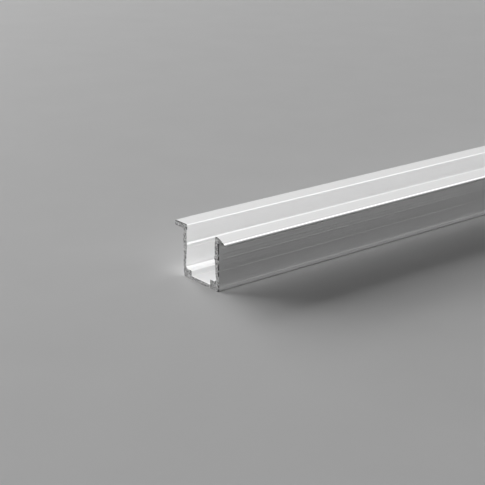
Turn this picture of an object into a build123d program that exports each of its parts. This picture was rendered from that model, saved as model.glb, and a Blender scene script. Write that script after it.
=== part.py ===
from build123d import *
import os

# Channel profile, an aluminium extrusion: a U channel with a flange turned out along the top of each wall,
# a snap ridge inside each wall and a shoulder in each bottom corner, either side of a flat strip bed.
# X runs across the section, Y along the stock and Z up. The origin is under the base, at mid length.

# Stock
LENGTH = 500.0

# Body: two walls on a thin base
BODY_WIDTH = 16.0
HEIGHT = 15.5
WALL = 1.6
WALL_FOOT = 1.1
BASE = 1.05
BASE_CORNER_RADIUS = 0.6
MOUTH_RADIUS = 0.4

# Flanges, with rounded noses
FLANGE_WIDTH = 25.0
FLANGE_THICKNESS = 1.45
FLANGE_ROOT_RADIUS = 0.8
NOSE_ROUND_SHARE = 0.47

# Snap ridge for a cover, inside each wall: a long lead above and a short catch below
RIDGE_DROP = 5.25
RIDGE_LEAD = 0.5
RIDGE_FACE = 0.75
RIDGE_CATCH = 0.3
RIDGE_PROUD = 0.22
RIDGE_RADIUS = 0.1

# Shoulders in the bottom corners
SHOULDER_WIDTH = 2.7
SHOULDER_RISE = 1.6
SHOULDER_RADIUS = 0.35
SHOULDER_ROOT_RADIUS = 0.8
BED_CORNER_RADIUS = 0.15

# Flange corners at the near sawn end: a spur where the right one broke off last, and the left one eased
SPUR = 1.7
SPUR_POINT = 2.1
SPUR_SET_IN = 0.7
SPUR_ROOT_SET_IN = 0.7
EASED_SET_IN = 0.8
EASED_RUN = 6.0
CUT_OVERRUN = 8.0

# Places across the right half of the section
outer = BODY_WIDTH / 2
inner = outer - WALL
foot = outer - WALL_FOOT
bed_edge = foot - SHOULDER_WIDTH
tip = FLANGE_WIDTH / 2
ridge_crest = inner - RIDGE_PROUD

# Heights up the section
flange_under = HEIGHT - FLANGE_THICKNESS
shoulder_top = BASE + SHOULDER_RISE
ridge_top = HEIGHT - RIDGE_DROP
crest_top = ridge_top - RIDGE_LEAD
crest_bottom = crest_top - RIDGE_FACE
ridge_bottom = crest_bottom - RIDGE_CATCH
nose_radius = FLANGE_THICKNESS * NOSE_ROUND_SHARE

with BuildPart() as channel_profile:
    # One half of the section, from under the base round the flange to the strip bed, then mirrored
    with BuildSketch(Plane.XZ):
        with BuildLine():
            FilletPolyline(
                (0, 0),
                (outer, 0),
                (outer, flange_under),
                (tip, flange_under),
                (tip, HEIGHT),
                (inner, HEIGHT),
                (inner, ridge_top),
                (ridge_crest, crest_top),
                (ridge_crest, crest_bottom),
                (inner, ridge_bottom),
                (foot, shoulder_top),
                (bed_edge, shoulder_top),
                (bed_edge, BASE),
                (0, BASE),
                radius=(
                    BASE_CORNER_RADIUS,
                    FLANGE_ROOT_RADIUS,
                    nose_radius,
                    nose_radius,
                    MOUTH_RADIUS,
                    RIDGE_RADIUS,
                    RIDGE_RADIUS,
                    RIDGE_RADIUS,
                    RIDGE_RADIUS,
                    SHOULDER_ROOT_RADIUS,
                    SHOULDER_RADIUS,
                    BED_CORNER_RADIUS,
                ),
            )
            mirror(about=Plane.YZ)
        make_face()
    extrude(amount=LENGTH / 2, both=True)

    # The near end is sawn square, but the right flange broke off last and keeps a spur, torn on its lower side
    sawn_end = SPUR - LENGTH / 2
    torn_start = Vector(outer - SPUR_SET_IN, sawn_end, HEIGHT)
    torn_point = Vector(tip, sawn_end - SPUR_POINT, HEIGHT)
    torn_root = Vector(tip - SPUR_ROOT_SET_IN, sawn_end, flange_under)
    torn_edge = torn_point - torn_start
    torn_face = Plane(torn_start, x_dir=torn_edge, z_dir=torn_edge.cross(torn_root - torn_start))
    with BuildPart(mode=Mode.SUBTRACT):
        with BuildSketch(Plane.XZ.offset(-sawn_end)):
            Rectangle(FLANGE_WIDTH * 2, HEIGHT * 4)
        extrude(amount=CUT_OVERRUN)
        split(bisect_by=torn_face, keep=Keep.BOTTOM)

    # The near corner of the left flange is eased, seen from above, so that it doesn't catch
    eased_start = Vector(EASED_SET_IN - tip, sawn_end, HEIGHT)
    eased_edge = Vector(-tip, sawn_end + EASED_RUN, HEIGHT) - eased_start
    eased_face = Plane(eased_start, x_dir=eased_edge, z_dir=Vector(0, 0, 1).cross(eased_edge))
    with BuildSketch(eased_face):
        Rectangle(CUT_OVERRUN * 2, CUT_OVERRUN * 2)
    extrude(amount=CUT_OVERRUN, mode=Mode.SUBTRACT)

channel_profile.part.label = "channel_profile"

os.makedirs("parts", exist_ok=True)
export_step(channel_profile.part, "parts/channel_profile.step")
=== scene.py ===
import math
import bpy
from mathutils import Euler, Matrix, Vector


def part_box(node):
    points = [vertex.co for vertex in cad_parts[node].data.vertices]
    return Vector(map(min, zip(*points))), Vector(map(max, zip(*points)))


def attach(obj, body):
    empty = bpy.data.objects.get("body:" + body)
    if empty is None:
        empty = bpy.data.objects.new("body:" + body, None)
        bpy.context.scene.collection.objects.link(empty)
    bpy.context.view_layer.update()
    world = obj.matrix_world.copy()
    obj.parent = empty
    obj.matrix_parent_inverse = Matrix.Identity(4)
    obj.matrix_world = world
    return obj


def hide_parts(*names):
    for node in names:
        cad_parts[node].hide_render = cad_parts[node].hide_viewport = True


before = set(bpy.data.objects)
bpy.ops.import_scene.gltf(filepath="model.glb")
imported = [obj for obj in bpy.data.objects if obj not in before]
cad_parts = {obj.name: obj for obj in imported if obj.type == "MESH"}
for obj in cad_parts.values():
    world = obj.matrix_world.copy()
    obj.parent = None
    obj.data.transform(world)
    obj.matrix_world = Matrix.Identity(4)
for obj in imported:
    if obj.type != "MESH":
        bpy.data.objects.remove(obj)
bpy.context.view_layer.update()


# Skin of the extrusion: aluminium pressed hot through a die, then satin anodised.
# The die draws fine straight lines along the whole length. They show most on the outside of the walls,
# which also have a few deeper scores.

class Socket:
    """One socket of a node tree: arithmetic on it adds Math nodes, and node() adds any other node."""

    # the colour sockets of a Mix node, which share their names with its other sockets
    MIX_FIRST, MIX_SECOND, MIX_RESULT = 6, 7, 2

    def __init__(self, tree, socket=None):
        self.tree = tree
        self.socket = socket

    def node(self, kind, settings, values, output=0):
        """Adds a node, sets its settings, then the values or links of its sockets, and gives one output."""
        made = self.tree.nodes.new(kind)
        for name, value in settings.items():
            setattr(made, name, value)
        for name, value in values.items():
            if isinstance(value, Socket):
                self.tree.links.new(value.socket, made.inputs[name])
            else:
                made.inputs[name].default_value = value
        return Socket(self.tree, made.outputs[output]) if made.outputs else None

    def maths(self, operation, first, second=0.0):
        return self.node("ShaderNodeMath", {"operation": operation}, {0: first, 1: second})

    def __add__(self, other):
        return self.maths("ADD", self, other)

    __radd__ = __add__

    def __sub__(self, other):
        return self.maths("SUBTRACT", self, other)

    def __rsub__(self, other):
        return self.maths("SUBTRACT", other, self)

    def __mul__(self, other):
        return self.maths("MULTIPLY", self, other)

    __rmul__ = __mul__

    def __truediv__(self, other):
        return self.maths("DIVIDE", self, other)

    def __gt__(self, other):
        return self.maths("GREATER_THAN", self, other)

    def __lt__(self, other):
        return self.maths("LESS_THAN", self, other)

    def __abs__(self):
        return self.maths("ABSOLUTE", self)

    def at_least(self, other):
        """The larger of two values, which is also a yes where either of them is a yes."""
        return self.maths("MAXIMUM", self, other)

    __or__ = at_least

    def between(self, low_end, high_end):
        """How far the value has come from one end to the other, from 0 to 1."""
        return self.node("ShaderNodeMapRange", {}, {
            "Value": self, "From Min": low_end, "From Max": high_end})

    def mixed(self, first, second):
        """The first colour where the value is 0 and the second where it is 1."""
        return self.node("ShaderNodeMix", {"data_type": "RGBA"}, {
            "Factor": self, self.MIX_FIRST: first, self.MIX_SECOND: second}, self.MIX_RESULT)

    def on_axis(self, axis):
        """A vector with the value on one axis and 0 on the others."""
        return self.node("ShaderNodeCombineXYZ", {}, {axis: self})

    def parts(self):
        """The three coordinates of a vector."""
        split = self.node("ShaderNodeSeparateXYZ", {}, {"Vector": self})
        return [Socket(self.tree, socket) for socket in split.socket.node.outputs]

    def flattened(self):
        """A vector without its part along the stock."""
        return self.node("ShaderNodeVectorMath", {"operation": "MULTIPLY"}, {0: self, 1: (1.0, 0.0, 1.0)})

    def distance(self, point):
        """How far a place is from a point."""
        return self.node("ShaderNodeVectorMath", {"operation": "DISTANCE"}, {0: self, 1: point}, "Value")

    def noise(self, scale, detail, roughness=0.5):
        """Cloudy noise at a place, from 0 to 1."""
        return self.node("ShaderNodeTexNoise", {}, {
            "Vector": self, "Scale": scale, "Detail": detail, "Roughness": roughness})


def new_material(name):
    """An empty node material, and the place of each point on its piece, to build the tree from."""
    material = bpy.data.materials.new(name)
    material.use_nodes = True
    material.node_tree.nodes.clear()
    return material, Socket(material.node_tree).node("ShaderNodeTexCoord", {}, {}, "Object")


def link_surface(make, values):
    """Joins a Principled shader with the given values to the material's output."""
    shader = make.node("ShaderNodeBsdfPrincipled", {}, values)
    make.node("ShaderNodeOutputMaterial", {}, {"Surface": shader})


SKIN_LIGHT = (0.965, 0.965, 0.965, 1.0)
SKIN_DARK = (0.93, 0.93, 0.93, 1.0)
SKIN_ROUGHNESS = 0.30
SKIN_ROUGHNESS_SPREAD = 0.08
DIE_LINE_SCALE = 2800.0
DIE_LINE_DETAIL = 4.0
DIE_LINE_STRETCH = 0.0002
DIE_LINE_MIDDLE = 0.5
DIE_LINE_DEPTH = 0.00002
PLAIN_LINE_SHARE = 0.5
WALL_LINE_SHARE = 2.2
RELIEF_STRENGTH = 0.6
WALL_SIDE = 0.0079
WALL_TOP = 0.0138
# each score's height up the wall, its half width, and its depth as a share of the die lines' depth
SCORES = ((0.00125, 0.0002, 3.0), (0.0058, 0.00014, 1.6), (0.0075, 0.00012, 0.8), (0.0092, 0.00014, 1.2))

skin, place = new_material("satin_anodised_skin")
across, _, up = place.parts()
drawn = place.node("ShaderNodeMapping", {}, {"Vector": place, "Scale": (1.0, DIE_LINE_STRETCH, 1.0)})
die_lines = drawn.noise(DIE_LINE_SCALE, DIE_LINE_DETAIL)
scores = 0.0
for height, half_width, depth_share in SCORES:
    scores = scores + (1.0 - abs(up - height) / half_width).at_least(0.0) * depth_share
on_wall = (abs(across) > WALL_SIDE) * (up < WALL_TOP)
skin_relief = place.node("ShaderNodeBump", {}, {
    "Height": die_lines * (PLAIN_LINE_SHARE + on_wall * WALL_LINE_SHARE) + scores * on_wall,
    "Distance": DIE_LINE_DEPTH,
    "Strength": RELIEF_STRENGTH})
link_surface(place, {
    "Base Color": die_lines.mixed(SKIN_DARK, SKIN_LIGHT),
    "Roughness": SKIN_ROUGHNESS + (die_lines - DIE_LINE_MIDDLE) * SKIN_ROUGHNESS_SPREAD,
    "Metallic": 1.0,
    "Normal": skin_relief})


# Sawn ends of the extrusion: bare aluminium cut by a circular saw.
# They are duller and greyer than the skin, speckled and pitted, with shallow arcs left by the teeth.

SAWN_LIGHT = (0.72, 0.72, 0.72, 1.0)
SAWN_DARK = (0.14, 0.14, 0.14, 1.0)
SAWN_ROUGHNESS = 0.45
GRAIN_SCALE = 2600.0
GRAIN_DETAIL = 3.0
GRAIN_ROUGHNESS = 0.6
GRAIN_DEPTH = 0.00005
SPECKLE_DARK_AT = 0.36
SPECKLE_LIGHT_AT = 0.64
PIT_COLOUR = (0.08, 0.08, 0.08, 1.0)
PIT_SCALE = 1700.0
PIT_DETAIL = 2.0
PIT_RIM_AT = 0.36
PIT_BOTTOM_AT = 0.30
BLADE_CENTRE = (-0.06, 0.0, 0.11)
TOOTH_SPACING = 0.0003
TOOTH_TONE_SHARE = 0.03
TOOTH_RELIEF_SHARE = 0.1

sawn, place = new_material("sawn_aluminium")
grain = place.noise(GRAIN_SCALE, GRAIN_DETAIL, GRAIN_ROUGHNESS)
pits = place.noise(PIT_SCALE, PIT_DETAIL).between(PIT_RIM_AT, PIT_BOTTOM_AT)
blade_reach = place.flattened().distance(BLADE_CENTRE)
tooth_marks = place.maths("SINE", blade_reach * (math.tau / TOOTH_SPACING))
speckle = (grain + tooth_marks * TOOTH_TONE_SHARE).between(SPECKLE_DARK_AT, SPECKLE_LIGHT_AT)
sawn_relief = place.node("ShaderNodeBump", {}, {
    "Height": grain + tooth_marks * TOOTH_RELIEF_SHARE,
    "Distance": GRAIN_DEPTH})
link_surface(place, {
    "Base Color": pits.mixed(speckle.mixed(SAWN_DARK, SAWN_LIGHT), PIT_COLOUR),
    "Roughness": SAWN_ROUGHNESS,
    "Metallic": 1.0,
    "Normal": sawn_relief})


# Torn edges round the sawn ends: a narrow rim where the saw dragged the metal over.
# It is rough and much darker than the cut, with brighter flecks: its dark colour is partly smeared, torn
# metal and partly painted shade, the shadow that falls along the rim.

# both rim tones are darker than the torn metal itself: painted shade for the shadow along the rim, as well as
# smeared metal
RIM_LIGHT_AND_PAINTED_SHADE = (0.32, 0.32, 0.32, 1.0)
RIM_DARK_AND_PAINTED_SHADE = (0.05, 0.05, 0.05, 1.0)
TORN_ROUGHNESS = 0.6
TORN_SHINE = 0.1
SMEAR_SCALE = 3200.0
SMEAR_DETAIL = 3.0
SMEAR_DARK_AT = 0.35
SMEAR_LIGHT_AT = 0.72

torn_rim_and_painted_shade, place = new_material("torn_edge_and_painted_shade")
smear = place.noise(SMEAR_SCALE, SMEAR_DETAIL).between(SMEAR_DARK_AT, SMEAR_LIGHT_AT)
link_surface(place, {
    "Base Color": smear.mixed(RIM_DARK_AND_PAINTED_SHADE, RIM_LIGHT_AND_PAINTED_SHADE),
    "Roughness": TORN_ROUGHNESS,
    "Specular IOR Level": TORN_SHINE})


# Channel profile: one aluminium extrusion, a U channel with a flange turned out along the top of each wall,
# a snap ridge inside each wall and a shoulder in each bottom corner beside the flat strip bed.
# The section is drawn as half an outline, mirrored, swept along the stock, and sawn off at both ends.

low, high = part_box("channel_profile")
HEIGHT = high.z - low.z
TIP = (high.x - low.x) / 2
BODY_WIDTH = 0.016
WALL = 0.0016
WALL_FOOT = 0.0011
BASE = 0.00105
FLANGE_THICKNESS = 0.00145
RIDGE_DROP = 0.00525
RIDGE_LEAD = 0.0005
RIDGE_FACE = 0.00075
RIDGE_CATCH = 0.0003
RIDGE_PROUD = 0.00022
SHOULDER_WIDTH = 0.0027
SHOULDER_RISE = 0.0016
ROUND_BASE = 0.0006
ROUND_ROOT = 0.0008
ROUND_NOSE = 0.00068
ROUND_MOUTH = 0.0004
ROUND_RIDGE = 0.0001
ROUND_SHOULDER_ROOT = 0.0008
ROUND_SHOULDER = 0.00035
ROUND_BED = 0.00015

# places across the right half of the section, and heights up it
OUTER = BODY_WIDTH / 2
INNER = OUTER - WALL
FOOT = OUTER - WALL_FOOT
MID_WALL = (OUTER + INNER) / 2
BED_EDGE = FOOT - SHOULDER_WIDTH
RIDGE_CREST = INNER - RIDGE_PROUD
SHOULDER_TOP = BASE + SHOULDER_RISE
FLANGE_UNDER = HEIGHT - FLANGE_THICKNESS
RIDGE_TOP = HEIGHT - RIDGE_DROP
CREST_TOP = RIDGE_TOP - RIDGE_LEAD
CREST_BOTTOM = CREST_TOP - RIDGE_FACE
RIDGE_BOTTOM = CREST_BOTTOM - RIDGE_CATCH

# the near sawn end, with the spur on the right flange, the eased corner of the left one, and the burr
SPUR = 0.0017
SPUR_POINT = 0.0021
SPUR_SET_IN = 0.0007
SPUR_ROOT_SET_IN = 0.0007
SPUR_BEND_SHARE = 0.4
SPUR_START = OUTER - SPUR_SET_IN
SPUR_ROOT = TIP - SPUR_ROOT_SET_IN
SAWN_END = low.y + SPUR
EASED_RUN = 0.006
EASED_SET_IN = 0.0008
BURR_PLACE = (-INNER, SAWN_END, HEIGHT - ROUND_MOUTH)
BURR_REACH = 0.0007
BURR_PROUD = 0.0007

# the broken edge round both ends: its shares of the full break, and how far in its end ring and its rim reach
EDGE_BREAK = 0.00025
EDGE_GRAIN = 1250.0
EDGE_DETAIL = 3.0
INNER_BREAK_SHARE = 0.2
OUTER_BREAK_SHARE = 1.1
BREAK_STARTS_AT = 0.38
BREAK_FULL_AT = 0.62
END_RING_SHARE = 0.5
RIM_SHARE = 1.5

# how far a face has to look along the stock to be a cut, or the rim on a flange or on a wall
CUT_FACING = 0.98
FLANGE_RIM_FACING = 0.05
WALL_RIM_FACING = 0.35

# the fineness of the mesh: points round the section, and stations along it with two close to each end
POINT_SPACING = 0.0001
ARC_STEPS = 8
STATION_SPACING = 0.02
NEAR_STATIONS = 2
FAR_STATIONS = 2
END_STATIONS = NEAR_STATIONS + FAR_STATIONS
QUAD_CORNERS = 4
MERGE_REACH = 0.000001
SMOOTH_ANGLE = math.radians(32)

half_outline = [
    (OUTER, 0.0, ROUND_BASE),
    (OUTER, FLANGE_UNDER, ROUND_ROOT),
    (TIP, FLANGE_UNDER, ROUND_NOSE),
    (TIP, HEIGHT, ROUND_NOSE),
    (INNER, HEIGHT, ROUND_MOUTH),
    (INNER, RIDGE_TOP, ROUND_RIDGE),
    (RIDGE_CREST, CREST_TOP, ROUND_RIDGE),
    (RIDGE_CREST, CREST_BOTTOM, ROUND_RIDGE),
    (INNER, RIDGE_BOTTOM, ROUND_RIDGE),
    (FOOT, SHOULDER_TOP, ROUND_SHOULDER_ROOT),
    (BED_EDGE, SHOULDER_TOP, ROUND_SHOULDER),
    (BED_EDGE, BASE, ROUND_BED),
]
mirrored_half = [(-across, up, rounding) for across, up, rounding in reversed(half_outline)]

section_curve = bpy.data.curves.new("channel_profile", "CURVE")
section_curve.dimensions = "3D"
outline = section_curve.splines.new("POLY")
outline.points.add(len(half_outline) + len(mirrored_half) - 1)
outline.use_cyclic_u = True
for point, (across, up, rounding) in zip(reversed(outline.points), half_outline + mirrored_half):
    point.co = (across, -up, 0.0, 1.0)
    point.radius = rounding
section_piece = bpy.data.objects.new("channel_section", section_curve)
bpy.context.scene.collection.objects.link(section_piece)

sweep = bpy.data.node_groups.new("swept_channel", "GeometryNodeTree")
sweep.is_modifier = True
for name, kind in (
        ("Section", "NodeSocketGeometry"),
        ("Sawn End", "NodeSocketFloat"),
        ("Far End", "NodeSocketFloat"),
        ("Stations", "NodeSocketInt"),
        ("Point Spacing", "NodeSocketFloat"),
        ("Edge Break", "NodeSocketFloat"),
        ("Spur", "NodeSocketFloat"),
        ("Eased Run", "NodeSocketFloat"),
        ("Eased Set In", "NodeSocketFloat"),
        ("Skin", "NodeSocketMaterial"),
        ("Sawn", "NodeSocketMaterial"),
        ("Torn Rim And Painted Shade", "NodeSocketMaterial")):
    sweep.interface.new_socket(name, in_out="INPUT", socket_type=kind)
sweep.interface.new_socket("Channel", in_out="OUTPUT", socket_type="NodeSocketGeometry")
group_in = sweep.nodes.new("NodeGroupInput")
given = {socket.name: Socket(sweep, socket) for socket in group_in.outputs if socket.name}
make = Socket(sweep)


def kept(geometry, field):
    """Keeps a yes or no on each face as the geometry is now, and gives the geometry and the answers."""
    keeper = sweep.nodes.new("GeometryNodeCaptureAttribute")
    keeper.domain = "FACE"
    keeper.capture_items.new("BOOLEAN", "kept")
    sweep.links.new(geometry.socket, keeper.inputs[0])
    sweep.links.new(field.socket, keeper.inputs[1])
    return Socket(sweep, keeper.outputs[0]), Socket(sweep, keeper.outputs[1])


def moved(geometry, offset, chosen=True):
    """Moves the chosen points of the geometry by an offset."""
    return geometry.node("GeometryNodeSetPosition", {}, {
        "Geometry": geometry, "Selection": chosen, "Offset": offset})


# the rounded section
corner = make.node("GeometryNodeInputRadius", {}, {})
rounded = make.node("GeometryNodeFilletCurve", {"mode": "POLY"}, {
    "Curve": given["Section"], "Count": ARC_STEPS, "Radius": corner, "Limit Radius": True})
rounded = make.node("GeometryNodeResampleCurve", {"mode": "LENGTH"}, {
    "Curve": rounded, "Length": given["Point Spacing"]})

# stations along the stock, with one just inside each sawn end and one where the eased corner runs out
near_end = given["Sawn End"]
far_end = given["Far End"]
eased_end = near_end + given["Eased Run"]
edge = given["Edge Break"]
line = make.node("GeometryNodeCurvePrimitiveLine", {"mode": "POINTS"}, {
    "Start": (0.0, -1.0, 0.0), "End": (0.0, 1.0, 0.0)})
line = make.node("GeometryNodeResampleCurve", {"mode": "COUNT"}, {"Curve": line, "Count": given["Stations"]})
number = make.node("GeometryNodeInputIndex", {}, {})
share = make.node("ShaderNodeClamp", {}, {
    "Value": (number - NEAR_STATIONS) / (given["Stations"] - END_STATIONS)})
is_first = number < 1
in_first_two = number < NEAR_STATIONS
is_last = number > given["Stations"] - FAR_STATIONS
station = eased_end + share * (far_end - edge - eased_end)
station = station - in_first_two * (given["Eased Run"] - edge) - is_first * edge + is_last * edge
path = make.node("GeometryNodeSetPosition", {}, {"Geometry": line, "Position": station.on_axis("Y")})
path = make.node("GeometryNodeSetCurveNormal", {"mode": "Z_UP"}, {"Curve": path})
bar = make.node("GeometryNodeCurveToMesh", {}, {"Curve": path, "Profile Curve": rounded, "Fill Caps": True})

# the broken edge round each sawn end, widest on the outer sides and round the flanges
spot = make.node("GeometryNodeInputPosition", {}, {})
across, along, up = spot.parts()
at_near_end = along < near_end + END_RING_SHARE * edge
at_end = at_near_end | (along > far_end - END_RING_SHARE * edge)
facing = make.node("GeometryNodeInputNormal", {}, {})
outward = make.node("ShaderNodeVectorMath", {"operation": "NORMALIZE"}, {0: facing.flattened()})
ragged = spot.noise(EDGE_GRAIN, EDGE_DETAIL)
outer_side = (abs(across) > MID_WALL) | (up > FLANGE_UNDER)
outer_break = outer_side * ragged.between(BREAK_STARTS_AT, BREAK_FULL_AT) * OUTER_BREAK_SHARE
depth = (ragged * INNER_BREAK_SHARE + outer_break) * edge
broken = make.node("ShaderNodeVectorMath", {"operation": "SCALE"}, {0: outward, "Scale": -1.0 * depth})
bar = moved(bar, broken, at_end)

# which faces are the cuts and which the torn rims, whose colour carries painted shade, kept before the
# corners are shaped
lengthwise = abs(facing.parts()[1])
bar, is_cut = kept(bar, lengthwise > CUT_FACING)
rim_on_flange = (lengthwise > FLANGE_RIM_FACING) * (up > FLANGE_UNDER)
rim_on_wall = (lengthwise > WALL_RIM_FACING) * outer_side
bar, is_rim = kept(bar, rim_on_flange | rim_on_wall)

# the spur of the right flange, which broke off last: it stands out most along the top of the nose
on_near_rim = along < near_end + RIM_SHARE * edge
top_slope = SPUR_POINT / (TIP - SPUR_START)
down_slope = top_slope * (SPUR_ROOT - SPUR_START) / FLANGE_THICKNESS
drop = (HEIGHT - EDGE_BREAK - up).at_least(0.0)
along_spur = (across - SPUR_START).at_least(0.0)
bend = 1 - SPUR_BEND_SHARE + along_spur * (SPUR_BEND_SHARE / (TIP - SPUR_START))
reach = along_spur * top_slope * bend - drop * down_slope
reach = make.maths("MINIMUM", reach.at_least(0.0), given["Spur"])
bar = moved(bar, (-1.0 * reach).on_axis("Y"), on_near_rim)

# the eased corner of the left flange, a flat that runs out along its nose
eased_side = given["Eased Set In"] * (eased_end - along) / given["Eased Run"] - TIP
eased = (eased_side - across).at_least(0.0)
bar = moved(bar, eased.on_axis("X"))

# the burr that hangs into the channel at the left mouth edge
burr = spot.distance(BURR_PLACE).between(BURR_REACH, 0.0) * BURR_PROUD
bar = moved(bar, burr.on_axis("X"), at_near_end)

# clean faces, smooth but for the sharp edges, with the skin, the torn rims in their painted shade, and the
# cuts
bar = make.node("GeometryNodeMergeByDistance", {}, {"Geometry": bar, "Distance": MERGE_REACH})
corners = make.node("GeometryNodeInputMeshFaceNeighbors", {}, {}, "Vertex Count")
bar = make.node("GeometryNodeTriangulate", {}, {"Mesh": bar, "Selection": corners > QUAD_CORNERS})
bar = make.node("GeometryNodeSetShadeSmooth", {"domain": "FACE"}, {"Geometry": bar, "Shade Smooth": True})
angle = make.node("GeometryNodeInputMeshEdgeAngle", {}, {}, "Unsigned Angle")
on_rim = (along + reach < near_end + RIM_SHARE * edge) | (along > far_end - RIM_SHARE * edge)
bar = make.node("GeometryNodeSetShadeSmooth", {"domain": "EDGE"}, {
    "Geometry": bar, "Selection": (angle > SMOOTH_ANGLE) | on_rim, "Shade Smooth": False})
bar = make.node("GeometryNodeRealizeInstances", {}, {"Geometry": bar})
for faces, finish in ((True, "Skin"), (is_rim, "Torn Rim And Painted Shade"), (is_cut, "Sawn")):
    bar = make.node("GeometryNodeSetMaterial", {}, {
        "Geometry": bar, "Selection": faces, "Material": given[finish]})
make.node("NodeGroupOutput", {}, {"Channel": bar})

sizes = {
    "Sawn End": SAWN_END,
    "Far End": high.y,
    "Stations": round((high.y - SAWN_END) / STATION_SPACING) + END_STATIONS,
    "Point Spacing": POINT_SPACING,
    "Edge Break": EDGE_BREAK,
    "Spur": SPUR,
    "Eased Run": EASED_RUN,
    "Eased Set In": EASED_SET_IN,
    "Skin": skin,
    "Sawn": sawn,
    "Torn Rim And Painted Shade": torn_rim_and_painted_shade,
}
modifier = section_piece.modifiers.new("sweep", "NODES")
modifier.node_group = sweep
for item in sweep.interface.items_tree:
    if item.in_out == "INPUT" and item.name in sizes:
        modifier[item.identifier] = sizes[item.name]
bpy.context.view_layer.update()
ready = section_piece.evaluated_get(bpy.context.evaluated_depsgraph_get())
channel_mesh = bpy.data.meshes.new_from_object(ready)
bpy.data.objects.remove(section_piece)
channel = bpy.data.objects.new("channel_profile_drawn", channel_mesh)
bpy.context.scene.collection.objects.link(channel)
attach(channel, "root")
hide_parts("channel_profile")


# Floor: a plain pale sheet, matt and faintly mottled, that the bar lies on.
# It isn't part of the bar. It takes the bar's shadow, and the metal mirrors it.

FLOOR_SIZE = 30.0
FLOOR_LIGHT = (0.72, 0.72, 0.72, 1.0)
FLOOR_DARK = (0.68, 0.68, 0.68, 1.0)
FLOOR_ROUGHNESS = 0.8
FLOOR_SHINE = 0.2
MOTTLE_SCALE = 40.0
MOTTLE_DETAIL = 4.0

floor_paint, place = new_material("pale_floor")
mottle = place.noise(MOTTLE_SCALE, MOTTLE_DETAIL)
link_surface(place, {
    "Base Color": mottle.mixed(FLOOR_DARK, FLOOR_LIGHT),
    "Roughness": FLOOR_ROUGHNESS,
    "Specular IOR Level": FLOOR_SHINE})
floor_mesh = bpy.data.meshes.new("floor")
half = FLOOR_SIZE / 2
floor_mesh.from_pydata(
    [(-half, -half, 0.0), (half, -half, 0.0), (half, half, 0.0), (-half, half, 0.0)], [], [(0, 1, 2, 3)])
floor_mesh.materials.append(floor_paint)
floor = bpy.data.objects.new("floor", floor_mesh)
bpy.context.scene.collection.objects.link(floor)


# Studio light: soft panels round the bar and a pale surround, which the metal shows but which lights little.
# The main panel stands low on the left, so that the bar shades the floor beside its right wall.

PANEL_DISTANCE = 6.6
SURROUND_COLOUR = (1.0, 1.0, 1.0, 1.0)
SURROUND_LIGHT = 0.04
SURROUND_SHOWN = 0.72


def soft_panel(name, azimuth, elevation, width, height, brightness):
    """A lamp panel facing the near half of the bar: azimuth in degrees from +X towards +Y, then elevation."""
    aim = Vector((0.0, low.y / 2, 0.0))
    around = math.radians(azimuth)
    rise = math.radians(elevation)
    direction = Vector((math.cos(rise) * math.cos(around), math.cos(rise) * math.sin(around), math.sin(rise)))
    lamp = bpy.data.lights.new(name, "AREA")
    lamp.shape = "RECTANGLE"
    lamp.size = width
    lamp.size_y = height
    lamp.energy = brightness * math.pi * width * height
    panel = bpy.data.objects.new(name, lamp)
    panel.location = aim + direction * PANEL_DISTANCE
    panel.rotation_euler = (-direction).to_track_quat("-Z", "Y").to_euler()
    bpy.context.scene.collection.objects.link(panel)


soft_panel("left_panel", azimuth=194, elevation=12, width=8.4, height=2.8, brightness=5.2)
soft_panel("high_left_panel", azimuth=174, elevation=30, width=2.8, height=2.8, brightness=5.0)
soft_panel("front_left_panel", azimuth=206, elevation=28, width=2.8, height=2.8, brightness=3.6)
soft_panel("back_panel", azimuth=49, elevation=36, width=3.6, height=3.0, brightness=1.2)

world = bpy.data.worlds.new("studio")
world.use_nodes = True
world.node_tree.nodes.clear()
make = Socket(world.node_tree)
rays = make.node("ShaderNodeLightPath", {}, {}).socket.node.outputs
seen = Socket(world.node_tree, rays["Is Camera Ray"])
for ray in ("Is Glossy Ray", "Is Transmission Ray"):
    seen = seen | Socket(world.node_tree, rays[ray])
surround = make.node("ShaderNodeBackground", {}, {
    "Color": SURROUND_COLOUR, "Strength": SURROUND_LIGHT + seen * (SURROUND_SHOWN - SURROUND_LIGHT)})
make.node("ShaderNodeOutputWorld", {}, {"Surface": surround})
bpy.context.scene.world = world


# Camera: at the photograph's viewing angle, turned from the stock's length and dropped from level.
# It is placed by the pixel at which the near bottom corner of the sawn end shows, and by its distance.

IMAGE_SIZE = 485
SENSOR = 36.0
FOCAL_PX = 1211.0
NEAR_LIMIT = 0.01
CORNER_PX = (218.53, 292.37)
CORNER = Vector((OUTER, SAWN_END, 0.0))
CORNER_DISTANCE = 0.32737
VIEW_TURN = math.radians(51.664)
VIEW_DROP = math.radians(19.376)
MIRROR_BOUNCES = 10

camera_data = bpy.data.cameras.new("camera")
camera_data.sensor_width = SENSOR
camera_data.lens = FOCAL_PX * SENSOR / IMAGE_SIZE
camera_data.clip_start = NEAR_LIMIT
camera = bpy.data.objects.new("camera", camera_data)
turn = Euler((math.pi / 2 - VIEW_DROP, 0.0, VIEW_TURN)).to_matrix()
corner_ray = turn @ Vector((
    (CORNER_PX[0] - IMAGE_SIZE / 2) / FOCAL_PX, (IMAGE_SIZE / 2 - CORNER_PX[1]) / FOCAL_PX, -1.0))
camera.location = CORNER - corner_ray.normalized() * CORNER_DISTANCE
camera.rotation_euler = turn.to_euler()
bpy.context.scene.collection.objects.link(camera)
bpy.context.scene.camera = camera
bpy.context.scene.view_settings.view_transform = "Standard"
bpy.context.scene.cycles.glossy_bounces = MIRROR_BOUNCES
